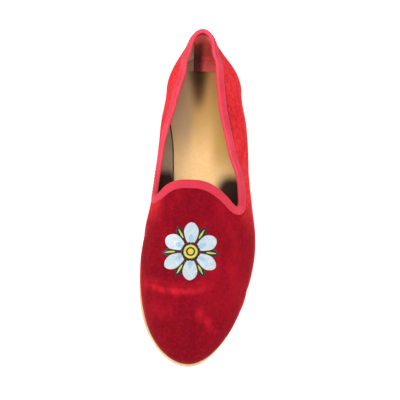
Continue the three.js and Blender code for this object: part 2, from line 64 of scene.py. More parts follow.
SECTIONS = table(
    "at medial lateral crest_x crest_z girth",
    (0.14, 0.338, 0.35, -0.03, 1.19, 9.5),
    (0.25, 0.37, 0.4, -0.045, 1.13, 10),
    (0.4, 0.405, 0.435, -0.055, 1.04, 10.5),
    (0.5, 0.43, 0.467, -0.055, 0.925, 11),
    (0.6, 0.478, 0.505, -0.05, 0.78, 10),
    (0.7, 0.5, 0.518, -0.045, 0.655, 9),
    (0.85, 0.5, 0.518, -0.05, 0.55, 7.5),
    (1, 0.5, 0.518, -0.056, 0.5, 6.5),
)
FULLNESS = table(
    "at medial lateral crest",
    (0.14, 1.6, 1.22, 1.35),
    (0.25, 1.63, 0.86, 1.6),
    (0.4, 4.2, 1.4, 1.6),
    (0.5, 5, 2.45, 1.75),
    (0.6, 3.4, 2.4, 1.85),
    (0.7, 2.6, 2.15, 1.95),
    (0.85, 2.2, 2.1, 2),
    (1, 2.2, 2.2, 2),
)
HEEL_SQUARENESS = 1.85
BACK = {"crest": 92, "side": 2.34, "fullness": 1.6, "sharpness": 9}
TOE_STARTS = {"medial": 0.645, "lateral": 0.58, "crest": 0.87}
TOE_SQUARENESS = 2.02
TOE_BEND = table("at x", (0, 0), (0.62, 0), (0.8, -2.2), (1, -4.6))
BED = table(
    "at height",
    (0, SEAT), (0.17, SEAT), (0.27, 12), (0.4, 8.2), (0.52, 4.9),
    (0.6, 4), (0.74, 4), (0.86, 5.8), (1, 10.5),
)
SOLE_EDGE = table(
    "at medial lateral",
    (0, 2, 2), (0.25, 2.6, 2.6), (0.42, 6, 4), (0.55, 3.4, 3),
    (0.68, 0.2, 2), (0.85, -0.8, 1.8), (1, 0.6, 1.6),
)
FEATHER = 1.6
INNER_FEATHER = 2.4
MARGIN = 8
BREAST = 0.24
TOPLINE = table(
    "at medial lateral",
    (0.14, 60, 60.5), (0.25, 52, 53), (0.4, 43.5, 46.5), (0.5, 38.5, 42.5), (0.58, 36, 39.5),
)
NOTCH = {"medial": 0.556, "lateral": 0.582, "rounding": 11, "lead": 0.03, "crowding": 1.3}
THROAT = {"at": 0.514, "x": -5, "medial": 3, "lateral": 2.1}
MOTIF = {"at": 0.705, "x": -5.5, "z": 40, "petals": 6, "lift": 0.12}

# Steps round the shoe from the back to the notch, and from the notch to the toe, and rows down it
QUARTER_STEPS = 96
VAMP_STEPS = 92
EDGE_ROWS = 16
WALL_ROWS = 54
TUCK_ROWS = 8
WALL_CROWDING = 1.25

# Points of the fine curves before they are divided, along heel, girth's heel, sides, corner and crease
HEEL_POINTS = 121
GIRTH_HEEL_POINTS = 161
SIDE_POINTS = 301
CORNER_POINTS = 49
CREASE_POINTS = 40


# Surface of the upper

def column(source, name, at):
    """A column's value at a station: a cubic that never overshoots its rows, level at both ends."""
    xs, ys = source["at"], source[name]
    x = np.clip(np.asarray(at, float), xs[0], xs[-1])
    gaps = np.diff(xs)
    rates = np.diff(ys) / gaps
    slopes = np.zeros_like(ys)
    for i in range(1, len(ys) - 1):
        if rates[i - 1] * rates[i] > 0:
            first = 2 * gaps[i] + gaps[i - 1]
            second = gaps[i] + 2 * gaps[i - 1]
            slopes[i] = (first + second) / (first / rates[i - 1] + second / rates[i])
    i = np.clip(np.searchsorted(xs, x, side="right") - 1, 0, len(xs) - 2)
    t = (x - xs[i]) / gaps[i]
    rise = t * t * (3 - 2 * t)
    lead = t * (1 - t) ** 2 * slopes[i]
    trail = t * t * (t - 1) * slopes[i + 1]
    return ys[i] * (1 - rise) + ys[i + 1] * rise + gaps[i] * (lead + trail)


def blend(a, b, k):
    return a * (1 - k) + b * k


def smoothstep(x, low, high):
    t = np.clip((x - low) / (high - low), 0, 1)
    return t * t * (3 - 2 * t)


def toe_rounding(at, start):
    u = np.clip((np.asarray(at, float) - start) / (1 - start), 0, 1)
    return np.maximum(1 - u**TOE_SQUARENESS, 0) ** (1 / TOE_SQUARENESS)


def crest_x(at):
    return column(SECTIONS, "crest_x", at) * BALL_WIDTH


def girth_x(at, side):
    name = SIDES[side]
    width = column(SECTIONS, name, at) * toe_rounding(at, TOE_STARTS[name])
    return side * width * BALL_WIDTH + column(TOE_BEND, "x", at)


def bed(at):
    return column(BED, "height", at)


def girth_z(at):
    station = np.maximum(at, HEEL_CENTRE)
    return bed(station) + column(SECTIONS, "girth", station)


def crest_z(at):
    low = girth_z(at)
    return blend(low, column(SECTIONS, "crest_z", at) * INSTEP, toe_rounding(at, TOE_STARTS["crest"]))


def heel_reach(phi):
    crest = crest_x(HEEL_CENTRE)
    medial, lateral = girth_x(HEEL_CENTRE, MEDIAL), girth_x(HEEL_CENTRE, LATERAL)
    across = np.where(phi < 0, crest - medial, lateral - crest)
    p = HEEL_SQUARENESS
    along = (np.abs(np.cos(phi)) / (HEEL_CENTRE * LENGTH)) ** p
    return (along + (np.abs(np.sin(phi)) / across) ** p) ** (-1 / p)


def law(s, x):
    """How far out a plan point lies, and the heights and powers of the curve over it."""
    at = np.clip(s / LENGTH, HEEL_CENTRE, 1)
    crest = crest_x(at)
    inner = x < crest
    width = np.maximum(np.where(inner, crest - girth_x(at, MEDIAL), girth_x(at, LATERAL) - crest), 1e-3)
    out = np.abs(x - crest) / width
    side = np.where(inner, column(FULLNESS, "medial", at), column(FULLNESS, "lateral", at))
    top = column(FULLNESS, "crest", at)
    low, high = girth_z(at), crest_z(at)
    behind = HEEL_CENTRE * LENGTH - s
    back = behind > 0
    phi = np.arctan2(x - crest, np.where(back, behind, 1))
    k = np.where(back, np.abs(np.cos(phi)) ** BACK["sharpness"], 0)
    out = np.where(back, np.hypot(behind, x - crest) / heel_reach(phi), out)
    high = blend(high, BACK["crest"], k)
    side = blend(side, BACK["side"], k)
    return out, low, high, side, blend(top, BACK["fullness"], k)


def skin_z(s, x):
    out, low, high, side, top = law(s, x)
    return low + (high - low) * np.maximum(1 - np.minimum(out, 1) ** side, 0) ** (1 / top)


def lifted(plan):
    """Plan points with their height on the skin."""
    return np.concatenate([plan, skin_z(plan[..., 0], plan[..., 1])[..., None]], -1)


def skin_error(p):
    out, low, high, side, top = law(p[..., 0], p[..., 1])
    return (np.maximum(p[..., 2] - low, 0) / (high - low)) ** top + out**side - 1


def skin_gradient(p, probe=0.02):
    steps = np.eye(3) * probe
    return np.stack([(skin_error(p + e) - skin_error(p - e)) / (2 * probe) for e in steps], -1)


def unit(v):
    return v / np.maximum(np.linalg.norm(v, axis=-1, keepdims=True), 1e-12)


def onto_skin(p):
    for _ in range(4):
        g = skin_gradient(p)
        p = p - g * (skin_error(p) / (g * g).sum(-1))[..., None]
    return p


def wall_x(at, z, side):
    low = girth_z(at)
    rise = np.clip((z - low) / (crest_z(at) - low), 0, 1)
    out = (1 - rise ** column(FULLNESS, "crest", at)) ** (1 / column(FULLNESS, SIDES[side], at))
    return blend(crest_x(at), girth_x(at, side), out)


def fan_point(phi, out):
    reach = heel_reach(phi) * out
    s = HEEL_CENTRE * LENGTH - reach * np.cos(phi)
    return np.stack([s, crest_x(HEEL_CENTRE) + reach * np.sin(phi)], -1)


def quarter_topline(side):
    name = SIDES[side]
    phi = side * np.linspace(0, pi / 2, HEEL_POINTS)
    k = np.cos(phi) ** BACK["sharpness"]
    low = girth_z(HEEL_CENTRE)
    z = blend(column(TOPLINE, name, HEEL_CENTRE), BACK_HEIGHT, k)
    rise = (z - low) / (blend(crest_z(HEEL_CENTRE), BACK["crest"], k) - low)
    top = blend(column(FULLNESS, "crest", HEEL_CENTRE), BACK["fullness"], k)
    sharp = blend(column(FULLNESS, name, HEEL_CENTRE), BACK["side"], k)
    fan = fan_point(phi, (1 - rise**top) ** (1 / sharp))
    at = np.linspace(HEEL_CENTRE, NOTCH[name], SIDE_POINTS)
    run = np.stack([at * LENGTH, wall_x(at, column(TOPLINE, name, at), side)], -1)
    return np.concatenate([fan[:-1], run])


def throat_edge(side, notch):
    u = np.linspace(1, 0, SIDE_POINTS)
    s = blend(THROAT["at"] * LENGTH, notch[0], u ** THROAT[SIDES[side]])
    return np.stack([s, blend(THROAT["x"], notch[1], u)], -1)


def path_lengths(points):
    return np.r_[0, np.cumsum(np.linalg.norm(np.diff(points, axis=0), axis=1))]


def along(points, wanted):
    sums = path_lengths(points)
    return np.stack([np.interp(wanted, sums, points[:, k]) for k in range(points.shape[1])], -1)


def resample(points, count, crowding=1):
    t = np.linspace(0, 1, count + 1)
    return along(points, path_lengths(points)[-1] * (1 - (1 - t) ** crowding))


def opening_side(side):
    quarter = quarter_topline(side)
    notch = quarter[-1]
    path = np.concatenate([quarter, throat_edge(side, notch)[1:]])
    sums = path_lengths(path)
    corner = sums[len(quarter) - 1]
    low, high = corner - NOTCH["rounding"], corner + NOTCH["rounding"]
    start, end = along(path, np.array([low, high]))
    t = np.linspace(0, 1, CORNER_POINTS)[:, None]
    curve = start * (1 - t) ** 2 + notch * 2 * t * (1 - t) + end * t * t
    middle = CORNER_POINTS // 2
    before, after = path[sums < low], path[sums > high]
    return np.concatenate([before, curve[: middle + 1]]), np.concatenate([curve[middle:], after])


def girth_side(side):
    fan = fan_point(side * np.linspace(0, pi / 2, GIRTH_HEEL_POINTS), 1)
    turn = np.linspace(0, pi / 2, SIDE_POINTS)[1:]
    at = np.r_[np.linspace(HEEL_CENTRE, 0.7, SIDE_POINTS), 0.7 + 0.3 * np.sin(turn)]
    return np.concatenate([fan[:-1], np.stack([at * LENGTH, girth_x(at, side)], -1)])


def ends(quarter, vamp, crowding):
    first = resample(quarter, QUARTER_STEPS, crowding)
    second = resample(vamp[::-1], VAMP_STEPS, crowding)[::-1]
    return np.concatenate([first, second[1:]])


def girth_ends(side):
    curve = girth_side(side)
    heel = GIRTH_HEEL_POINTS - 1
    cut = (NOTCH[SIDES[side]] + NOTCH["lead"]) * LENGTH
    split = int(np.searchsorted(curve[heel:, 0], cut)) + heel
    return ends(curve[: split + 1], curve[split:], 1)


def close_loop(medial, lateral):
    return np.concatenate([medial, lateral[1:-1][::-1]])


def around(loop, step):
    return np.roll(loop, -step, axis=0)


girth = close_loop(girth_ends(MEDIAL), girth_ends(LATERAL))
COUNT = len(girth)
TOE = QUARTER_STEPS + VAMP_STEPS
edge_plan = close_loop(*(ends(*opening_side(side), NOTCH["crowding"]) for side in (MEDIAL, LATERAL)))
edge = lifted(edge_plan)
run = around(girth, 1) - around(girth, -1)
girth_out = unit(np.stack([run[:, 1], -run[:, 0]], -1))
station = girth[:, 0] / LENGTH
bed_z = bed(station)
share = smoothstep(girth[:, 1], -BALL_WIDTH / 4, BALL_WIDTH / 4)
sole_edge = blend(column(SOLE_EDGE, "medial", station), column(SOLE_EDGE, "lateral", station), share)
margin = sole_edge + FEATHER + MARGIN
CENTRE_X = (girth[:, 1].min() + girth[:, 1].max()) / 2


def plan_inset(inset, z):
    p = girth - girth_out * np.broadcast_to(inset, COUNT)[:, None]
    return np.concatenate([p, np.broadcast_to(z, COUNT)[:, None]], 1)


def edge_rows():
    """Rows on the surface at even distances below the opening's edge."""
    tangent = unit(around(edge, 1) - around(edge, -1))
    reach = BINDING_WIDTH + 2 * GAP
    rows = [edge]
    for _ in range(EDGE_ROWS):
        p = rows[-1]
        down = unit(np.cross(tangent, unit(skin_gradient(p))))
        rows.append(onto_skin(p + down * reach / EDGE_ROWS))
    return rows, np.linspace(0, reach, EDGE_ROWS + 1)


def wall_rows(start):
    k = np.sin(np.linspace(0, pi / 2, 160))[:, None, None]
    path = lifted(blend(start[None, :, :2], girth[None], k))
    path[-1, :, 2] = girth_z(station)
    rows = np.stack([resample(path[:, i], WALL_ROWS, WALL_CROWDING) for i in range(COUNT)], 1)
    return list(rows[1:])


def tuck(turn, inset, reach, floor):
    z = blend(girth_z(station), floor, sin(turn))
    return plan_inset(inset + reach * (1 - cos(turn)), z)


def outer_tuck(turn):
    return tuck(turn, 0, sole_edge + FEATHER, bed_z + GAP)


def inner_tuck(turn):
    return tuck(turn, WALL, sole_edge + INNER_FEATHER - WALL, bed_z + GAP + WALL)


near, near_distance = edge_rows()
mid = wall_rows(near[-1])
near_normal = [unit(skin_gradient(p)) for p in near]
mid_normal = [unit(skin_gradient(p)) for p in mid[:-1]]
mid_normal.append(np.concatenate([girth_out, np.zeros((COUNT, 1))], 1))
turns = np.linspace(0, pi / 2, TUCK_ROWS + 1)[1:]


# Creases and dents of the worn velvet: height, half width and a line of plan points (s, x), in mm
CREASES = [
    (0.55, 3.8, [(196, -41), (203, -33), (209, -20), (211, -8), (209, 3), (204, 13)]),
    (-0.5, 3.4, [(189, -40), (196, -31), (201, -18), (203, -6), (200, 7)]),
    (-0.35, 4.5, [(217, -30), (220, -18), (219, -6)]),
    (0.5, 3.4, [(224, 0), (229, 7), (235, 12)]),
    (-0.35, 3.2, [(221, 10), (228, 16), (233, 19)]),
    (0.5, 3.4, [(186, 40), (192, 32), (199, 27)]),
    (-0.4, 3, [(194, 41), (200, 34), (207, 30)]),
    (0.35, 3.6, [(205, 38), (211, 30), (218, 26)]),
    (0.7, 3.4, [(150, -39), (156, -36), (163, -34)]),
    (-0.4, 3, [(158, -41), (166, -38), (174, -37)]),
    (0.4, 3.6, [(156, 37), (162, 34), (170, 33)]),
    (-0.4, 4.5, [(120, 38), (112, 36), (100, 36)]),
    (0.35, 5, [(96, 37), (84, 35), (72, 35)]),
    (-0.3, 4.5, [(62, 34), (52, 33), (44, 32)]),
    (-0.4, 4.5, [(112, -35), (100, -33), (88, -32)]),
    (0.3, 5, [(78, -31), (66, -31), (54, -30)]),
]


def crease_height(p):
    total = np.zeros(p.shape[:-1])
    fade = np.sin(np.linspace(0, pi, CREASE_POINTS)) ** 0.7
    for height, width, points in CREASES:
        line = np.array(points, float)
        fine = along(line, np.linspace(0, path_lengths(line)[-1], CREASE_POINTS))
        away = np.linalg.norm(p[..., None, :] - lifted(fine), axis=-1)
        total += height * (np.exp(-((away / width) ** 2)) * fade).max(-1)
    return total


def ripple(p, seed, size, height):
    """Soft unevenness of hand-lasted cloth: a few long waves, the same in every run."""
    rng = np.random.default_rng(seed)
    total = np.zeros(p.shape[:-1])
    for _ in range(9):
        wave = unit(rng.normal(size=3)) * 2 * pi / (size * rng.uniform(0.7, 1.8))
        total += np.sin(p @ wave + rng.uniform(0, 2 * pi))
    return total / 9 * height


def to_frame(p):
    """Shoe points in mm to the part's frame in metres."""
    return np.stack([p[..., 1] - CENTRE_X, LENGTH / 2 - p[..., 0], p[..., 2]], -1) / 1000


# Meshes

def placed(name, data):
    """A new object of the scene that shows the data."""
    obj = bpy.data.objects.new(name, data)
    bpy.context.scene.collection.objects.link(obj)
    return obj


def mesh_object(name, points, faces, material, smooth=None, uvs=None):
    """A mesh with its faces turned outwards; smooth is the sharpest angle that is shaded smooth."""
    data = bpy.data.meshes.new(name)
    data.from_pydata(points.tolist(), [], [tuple(f) for f in faces])
    data.validate()
    data.update()
    volume = sum(
        points[f[0]].dot(np.cross(points[f[i]], points[f[i + 1]]))
        for f in faces
        for i in range(1, len(f) - 1)
    )
    if uvs is not None:
        layer = data.uv_layers.new(name="UVMap")
        layer.data.foreach_set("uv", np.concatenate([np.asarray(u, np.float32).ravel() for u in uvs]))
    if volume < 0:
        data.flip_normals()
    data.polygons.foreach_set("use_smooth", [True] * len(data.polygons))
    if smooth is not None:
        data.set_sharp_from_angle(angle=radians(smooth))
    data.materials.append(material)
    return placed(name, data)


def bridge(lower, upper, count):
    """Faces between two closed loops of points, from the number that each loop starts at."""
    pairs = [(i, (i + 1) % count) for i in range(count)]
    return [(lower + i, lower + j, upper + j, upper + i) for i, j in pairs]


def ring_object(name, rows, material, uv_rows=None, smooth=None):
    """A closed ring of sections: every row is a loop round the shoe, and the last row meets the first."""
    faces, uvs = [], None if uv_rows is None else []
    count = len(rows[0])
    for k in range(len(rows)):
        faces += bridge(k * count, (k + 1) % len(rows) * count, count)
        if uv_rows is not None:
            a, b = uv_rows[k], uv_rows[k + 1]
            uvs += [[a[i], a[i + 1], b[i + 1], b[i]] for i in range(count)]
    return mesh_object(name, to_frame(np.concatenate(rows)), faces, material, smooth, uvs)


def stack_object(name, rows, material, smooth=None):
    """Loops stacked from the bottom to the top, closed by rungs at each end."""
    faces = []
    count = len(rows[0])
    for k in range(len(rows) - 1):
        faces += bridge(k * count, (k + 1) * count, count)
    for base, flip in ((0, True), ((len(rows) - 1) * count, False)):
        rungs = [(0, 1, count - 1)]
        for i in range(1, count // 2):
            j = count - i
            if i + 1 < j - 1:
                rungs.append((i, i + 1, j - 1, j))
            elif i + 1 < j:
                rungs.append((i, i + 1, j))
        faces += [tuple(base + v for v in (r[::-1] if flip else r)) for r in rungs]
    return mesh_object(name, to_frame(np.concatenate(rows)), faces, material, smooth)


def patch_object(name, face, back, material, uv=None, smooth=None):
    """A patch of rows with a back of matching rows; uv has a pair for each point of the face."""
    rows, count = face.shape[:2]
    size = rows * count
    faces = []
    for k in range(rows - 1):
        for i in range(count - 1):
            a, d = k * count + i, (k + 1) * count + i
            b, c = a + 1, d + 1
            faces.append((a, b, c, d))
            faces.append((size + d, size + c, size + b, size + a))
    rim = list(range(count)) + [k * count + count - 1 for k in range(1, rows)]
    rim += [(rows - 1) * count + i for i in range(count - 2, -1, -1)]
    rim += [k * count for k in range(rows - 2, 0, -1)]
    for a, b in zip(rim, rim[1:] + rim[:1]):
        faces.append((b, a, size + a, size + b))
    uvs = None
    if uv is not None:
        uvs = [uv.reshape(-1, 2)[[v % size for v in corners]] for corners in faces]
    points = np.concatenate([face.reshape(-1, 3), back.reshape(-1, 3)])
    return mesh_object(name, to_frame(points), faces, material, smooth, uvs)


def joined(name, parts):
    """One object of several meshes with one material."""
    bpy.ops.object.select_all(action="DESELECT")
    for part in parts:
        part.select_set(True)
    bpy.context.view_layer.objects.active = parts[0]
    bpy.ops.object.join()
    parts[0].name = name
    parts[0].data.name = name
    return parts[0]


def fit(obj, slot, *nodes):
    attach(obj, "root")
    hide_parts(*nodes)


# Materials

class Nodes:
    """Short calls that add shader nodes and link them."""

    def __init__(self, name):
        self.material = bpy.data.materials.new(name)
        self.material.use_nodes = True
        self.tree = self.material.node_tree
        self.shader = self.tree.nodes["Principled BSDF"]
        self.place = self.add("TexCoord").outputs["Object"]
        self.uv = self.place.node.outputs["UV"]

    def put(self, node, inputs):
        """Links or sets a node's inputs, given by name or number."""
        for key, value in inputs.items():
            socket = node.inputs[key]
            if isinstance(value, bpy.types.NodeSocket):
                self.tree.links.new(value, socket)
            elif isinstance(value, tuple) and socket.type == "RGBA":
                socket.default_value = (*value, 1)
            else:
                socket.default_value = value

    def add(self, kind, inputs=None, **settings):
        node = self.tree.nodes.new("ShaderNode" + kind)
        for key, value in settings.items():
            setattr(node, key, value)
        self.put(node, inputs or {})
        return node

    def scaled(self, vector, scale):
        return self.add("Mapping", {"Vector": vector, "Scale": scale}).outputs[0]

    def noise(self, scale, detail=2, rough=0.5, twist=0, vector=None):
        inputs = {"Scale": scale, "Detail": detail, "Roughness": rough, "Distortion": twist}
        inputs["Vector"] = self.place if vector is None else vector
        return self.add("TexNoise", inputs).outputs["Fac"]

    def cells(self, scale):
        inputs = {"Vector": self.place, "Scale": scale}
        return self.add("TexVoronoi", inputs).outputs["Distance"]

    def wave(self, scale, vector, twist=0, axis="X", profile="SIN"):
        inputs = {"Vector": vector, "Scale": scale, "Distortion": twist}
        node = self.add("TexWave", inputs, bands_direction=axis, wave_profile=profile)
        return node.outputs["Fac"]

    def math(self, operation, a, b=0):
        return self.add("Math", {0: a, 1: b}, operation=operation).outputs[0]

    def product(self, value, *factors):
        for factor in factors:
            value = self.math("MULTIPLY", value, factor)
        return value

    def weighted(self, a, share_a, b, share_b):
        return self.math("ADD", self.product(a, share_a), self.product(b, share_b))

    def levels(self, value, low, high, start=0, end=1):
        """A smooth way from start to end, as the value goes from low to high."""
        inputs = {"Value": value, "From Min": low, "From Max": high, "To Min": start, "To Max": end}
        node = self.add("MapRange", inputs, interpolation_type="SMOOTHSTEP")
        return node.outputs["Result"]

    def mix(self, factor, a, b):
        return self.add("Mix", {0: factor, 6: a, 7: b}, data_type="RGBA").outputs[2]

    def tint(self, color, tint, *factors):
        """The colour, turned towards a tint by the product of the factors."""
        return self.mix(self.product(*factors), color, tint)

    def axis(self, vector, name):
        return self.add("SeparateXYZ", {0: vector}).outputs[name]

    def normal_z(self):
        return self.axis(self.add("NewGeometry").outputs["Normal"], "Z")

    def spot(self, s, x, z, radii):
        """1 at a shoe point, falling to 0 at the radii along x, y and z, all in mm."""
        centre = tuple(to_frame(np.array([s, x, z])))
        away = self.add("VectorMath", {0: self.place, 1: centre}, operation="SUBTRACT")
        scaled = self.scaled(away.outputs[0], tuple(1000 / r for r in radii))
        length = self.add("VectorMath", {0: scaled}, operation="LENGTH")
        return self.levels(length.outputs["Value"], 0, 1, 1, 0)

    def ahead(self, start, end):
        """0 at one distance from the heel's back and 1 at the other, in mm."""
        start, end = ((LENGTH / 2 - s) / 1000 for s in (start, end))
        return self.levels(self.axis(self.place, "Y"), start, end)

    def outward(self, start, end):
        """The same across the shoe, from the part's middle outwards."""
        return self.levels(self.axis(self.place, "X"), start / 1000, end / 1000)

    def hollow_corners(self):
        """1 in the two front corners of the opening, where little light comes in."""
        lateral = self.product(self.outward(5, 22), self.ahead(94, 118))
        medial = self.product(self.outward(-16.5, -24), self.ahead(94, 112))
        corners = self.math("MAXIMUM", lateral, medial)
        return self.levels(self.weighted(corners, 1.9, self.noise(45), 0.25), 0.2, 1.6)

    def bump(self, height, distance, strength):
        inputs = {"Height": height, "Distance": distance, "Strength": strength}
        return self.add("Bump", inputs).outputs[0]

    def finish(self, color, roughness, normal=None, **constants):
        inputs = {"Base Color": color, "Roughness": roughness}
        if normal is not None:
            inputs["Normal"] = normal
        inputs.update({key.replace("_", " "): value for key, value in constants.items()})
        self.put(self.shader, inputs)
        return self.material


def sheen(weight, roughness, tint=(1, 1, 1)):
    return {"Sheen_Weight": weight, "Sheen_Roughness": roughness, "Sheen_Tint": tint}


# The vamp's main fold: its foremost point from the heel's back and outwards, in mm, and how it bows
FOLD = {"at": 211, "x": -10, "bow": 13}

# Painted highlights: soft lighter patches where the velvet catches light, with plan place, height and
# radii in mm, and strength
VELVET_HIGHLIGHTS = [
    (228, 3, 32, (6, 9, 12), 0.6),
    (232, 9, 31, (7, 6, 12), 0.75),
    (237, 13, 30, (7, 4.5, 12), 0.55),
    (224, -22, 27, (16, 12, 14), 0.25),
    (152, -30, 34, (10, 14, 14), 0.16),
    (196, 28, 27, (10, 24, 18), 0.22),
    (168, 30, 34, (12, 16, 16), 0.14),
    (206, 34, 22, (8, 18, 18), 0.2),
]


def fold_line(n, offset, width):
    """1 along the vamp's main fold, which bows towards the toe; offset moves it to the toe, in mm. It
    places the fold's painted highlights and painted shade.
    """
    across = n.math("ADD", n.axis(n.place, "X"), -FOLD["x"] / 1000)
    bow = n.product(across, across, FOLD["bow"])
    line = n.math("ADD", bow, (LENGTH / 2 - FOLD["at"] - offset) / 1000)
    away = n.math("ABSOLUTE", n.math("SUBTRACT", n.axis(n.place, "Y"), line))
    shown = n.product(n.outward(14, -2), n.levels(n.normal_z(), 0.3, 0.7))
    return n.product(n.levels(away, width / 1000, 0), shown)


def velvet():
    """Dark crimson on top, with a painted sheen that makes it lighter and more orange where it stands
    steep, at the quarters above all, and painted highlights and shade at the folds and the toe.
    """
    n = Nodes("velvet")
    nap = n.noise(26, 3, 0.55, 0.8, n.scaled(n.place, (1, 0.6, 1)))
    strokes = n.noise(95, 4, 0.65, 0.5, n.scaled(n.place, (1.5, 0.45, 1)))
    pile = n.noise(1500, 2, 0.6)
    tuft = n.noise(480, 3, 0.6)
    patch = n.levels(n.weighted(nap, 0.6, strokes, 0.4), 0.36, 0.66)
    color = n.mix(patch, (0.155, 0.0016, 0.0076), (0.275, 0.0034, 0.0118))
    # Painted shade: the toe is darker
    color = n.tint(color, (0.125, 0.0013, 0.0068), n.spot(240, 0, 28, (44, 50, 46)), 0.6)
    # Painted highlights, streaked by the nap
    for s, x, z, radii, share in VELVET_HIGHLIGHTS:
        highlight_streaks = n.levels(strokes, 0.32, 0.62, share * 0.25, share)
        color = n.tint(color, (0.54, 0.010, 0.021), n.spot(s, x, z, radii), highlight_streaks)
    # Painted highlights on the fold's crests, and painted shade in the trough behind the main fold
    crest_highlights = n.math("MAXIMUM", fold_line(n, 0, 5.2), n.product(fold_line(n, -4, 6), 0.5))
    broken = n.levels(n.noise(150, 3, 0.6), 0.35, 0.62, 0.25, 0.9)
    color = n.tint(color, (0.13, 0.0015, 0.007), fold_line(n, -10, 6.5), 0.4)
    color = n.tint(color, (0.56, 0.012, 0.026), crest_highlights, broken, 0.56)
    # Painted highlight: a thin bright line along the main fold
    highlight_streaks = n.levels(strokes, 0.34, 0.6, 0.1, 0.42)
    color = n.tint(color, (0.62, 0.016, 0.032), fold_line(n, 0.3, 3.4), highlight_streaks, n.outward(12, -10))
    # Painted sheen: steep walls behind the toe and the quarters' sides are tinted lighter and more orange
    steep = n.product(n.levels(n.normal_z(), 0.42, 0.02), 0.75, n.ahead(240, 188))
    quarter = n.product(n.ahead(166, 128), n.levels(n.normal_z(), 0.82, 0.55))
    mottle = n.weighted(n.noise(330, 3, 0.7), 0.6, strokes, 0.4)
    sheen_color = n.mix(n.levels(mottle, 0.4, 0.62), (0.62, 0.014, 0.022), (0.88, 0.038, 0.038))
    color = n.tint(color, sheen_color, n.math("MAXIMUM", steep, quarter), 0.92)
    color = n.mix(n.levels(tuft, 0.38, 0.7, 0, 0.14), color, (0.6, 0.012, 0.024))
    color = n.mix(n.levels(pile, 0.3, 0.75, 0, 0.22), color, (0.12, 0.0014, 0.005))
    normal = n.bump(n.weighted(pile, 0.6, tuft, 0.9), 0.00035, 0.7)
    return n.finish(color, 0.95, normal, Specular_IOR_Level=0.06, **sheen(0.14, 0.4, (1, 0.1, 0.12)))


def grosgrain():
    """Ribbed tape: its V is 0 at the fold, below 0 outside the shoe and above 0 inside, in metres."""
    n = Nodes("binding_tape")
    rib = n.wave(620, n.uv, 0.25)
    fibre = n.noise(1800, 3, 0.6, 0, n.scaled(n.uv, (1, 4, 1)))
    wear = n.noise(70, 3, 0.6)
    across = n.axis(n.uv, "Y")
    from_fold = n.math("ABSOLUTE", across)
    color = n.mix(n.levels(wear, 0.3, 0.7), (0.66, 0.022, 0.056), (0.82, 0.044, 0.085))
    # Painted highlight along the tape's fold
    color = n.tint(color, (0.98, 0.12, 0.16), n.levels(from_fold, 0.0022, 0.0002), 0.45)
    color = n.tint(color, (0.42, 0.008, 0.028), n.levels(from_fold, 0.0062, 0.0082), 0.5)
    color = n.tint(color, (0.46, 0.014, 0.036), n.ahead(112, 132), 0.42)
    color = n.tint(color, (0.5, 0.035, 0.045), n.levels(across, 0.0014, 0.0028), n.ahead(36, 22), 0.6)
    color = n.mix(n.levels(rib, 0.1, 0.75, 0.3, 0), color, (0.42, 0.008, 0.03))
    color = n.mix(n.levels(fibre, 0.35, 0.75, 0, 0.2), color, (0.95, 0.12, 0.16))
    normal = n.bump(n.math("ADD", rib, n.product(fibre, 0.4)), 0.0002, 0.9)
    return n.finish(color, 0.75, normal, Specular_IOR_Level=0.2, **sheen(0.12, 0.4, (1, 0.3, 0.3)))


def leather(name, light, dark, grain, roughness, stains, shade=None, gloss=0.35):
    """Clouded leather with fine pores; shade may change its colour by place, painted light and shade among
    it.
    """
    n = Nodes(name)
    pores = n.cells(grain)
    fine = n.noise(grain * 0.7, 4, 0.6)
    cloud = n.noise(28, 3, 0.55, 0.4)
    color = n.mix(n.levels(cloud, 0.3, 0.7), light, dark)
    color = n.mix(n.levels(fine, 0.35, 0.75, 0, stains), color, tuple(c * 0.6 for c in dark))
    if shade is not None:
        color = shade(n, color)
    normal = n.bump(n.weighted(fine, 0.7, pores, -0.8), 0.0002, 0.55)
    uneven = n.levels(fine, 0.2, 0.8, roughness - 0.08, roughness + 0.1)
    return n.finish(color, uneven, normal, Specular_IOR_Level=gloss)


# Painted shadow down the sock from the heel, as dark patches: plan place, radii and strength
HEEL_SHADOWS = [
    (15, -4.2, (12, 18, 20), 1),
    (25, -4, (10.5, 20, 20), 0.88),
    (37, -3.4, (8.5, 20, 20), 0.7),
]


def sock_shade(n, color):
    """Cream in front and ochre behind, with painted shade: darker ochre towards the lateral corner, greyer
    on the medial side and nearly black in the front corners; and a painted shadow in black patches down
    from the heel.
    """
    color = n.tint(color, (0.6, 0.365, 0.125), n.ahead(98, 52), 0.92)
    # Painted shade: darker ochre on the lateral side before the hollow corner
    color = n.tint(color, (0.52, 0.315, 0.09), n.outward(4, 13), n.ahead(108, 84), 0.8)
    # Painted shade: greyer on the medial side, with a wandering edge
    wander = n.product(n.noise(30), 0.006)
    medial = n.levels(n.math("ADD", n.axis(n.place, "X"), wander), -0.002, -0.0085)
    color = n.tint(color, (0.5, 0.345, 0.215), medial, n.ahead(100, 62), 0.85)
    # Painted shadow from the heel, laid as dark patches
    for s, x, radii, strength in HEEL_SHADOWS:
        color = n.tint(color, (0.035, 0.018, 0.012), n.spot(s, x, SEAT + 5, radii), strength)
    return painted_corner_shade(n, color)


def painted_corner_shade(n, color):
    # Painted shade: nearly black in the hollow front corners of the opening
    return n.mix(n.hollow_corners(), color, (0.034, 0.015, 0.0075))


def heel_lining_light_and_shade(n, color):
    """Painted light: paler at the heel's sides, where the lining lies in shade; with the painted shade of
    the front corners.
    """
    return painted_corner_shade(n, n.tint(color, (0.86, 0.69, 0.5), n.ahead(62, 34), 0.8))


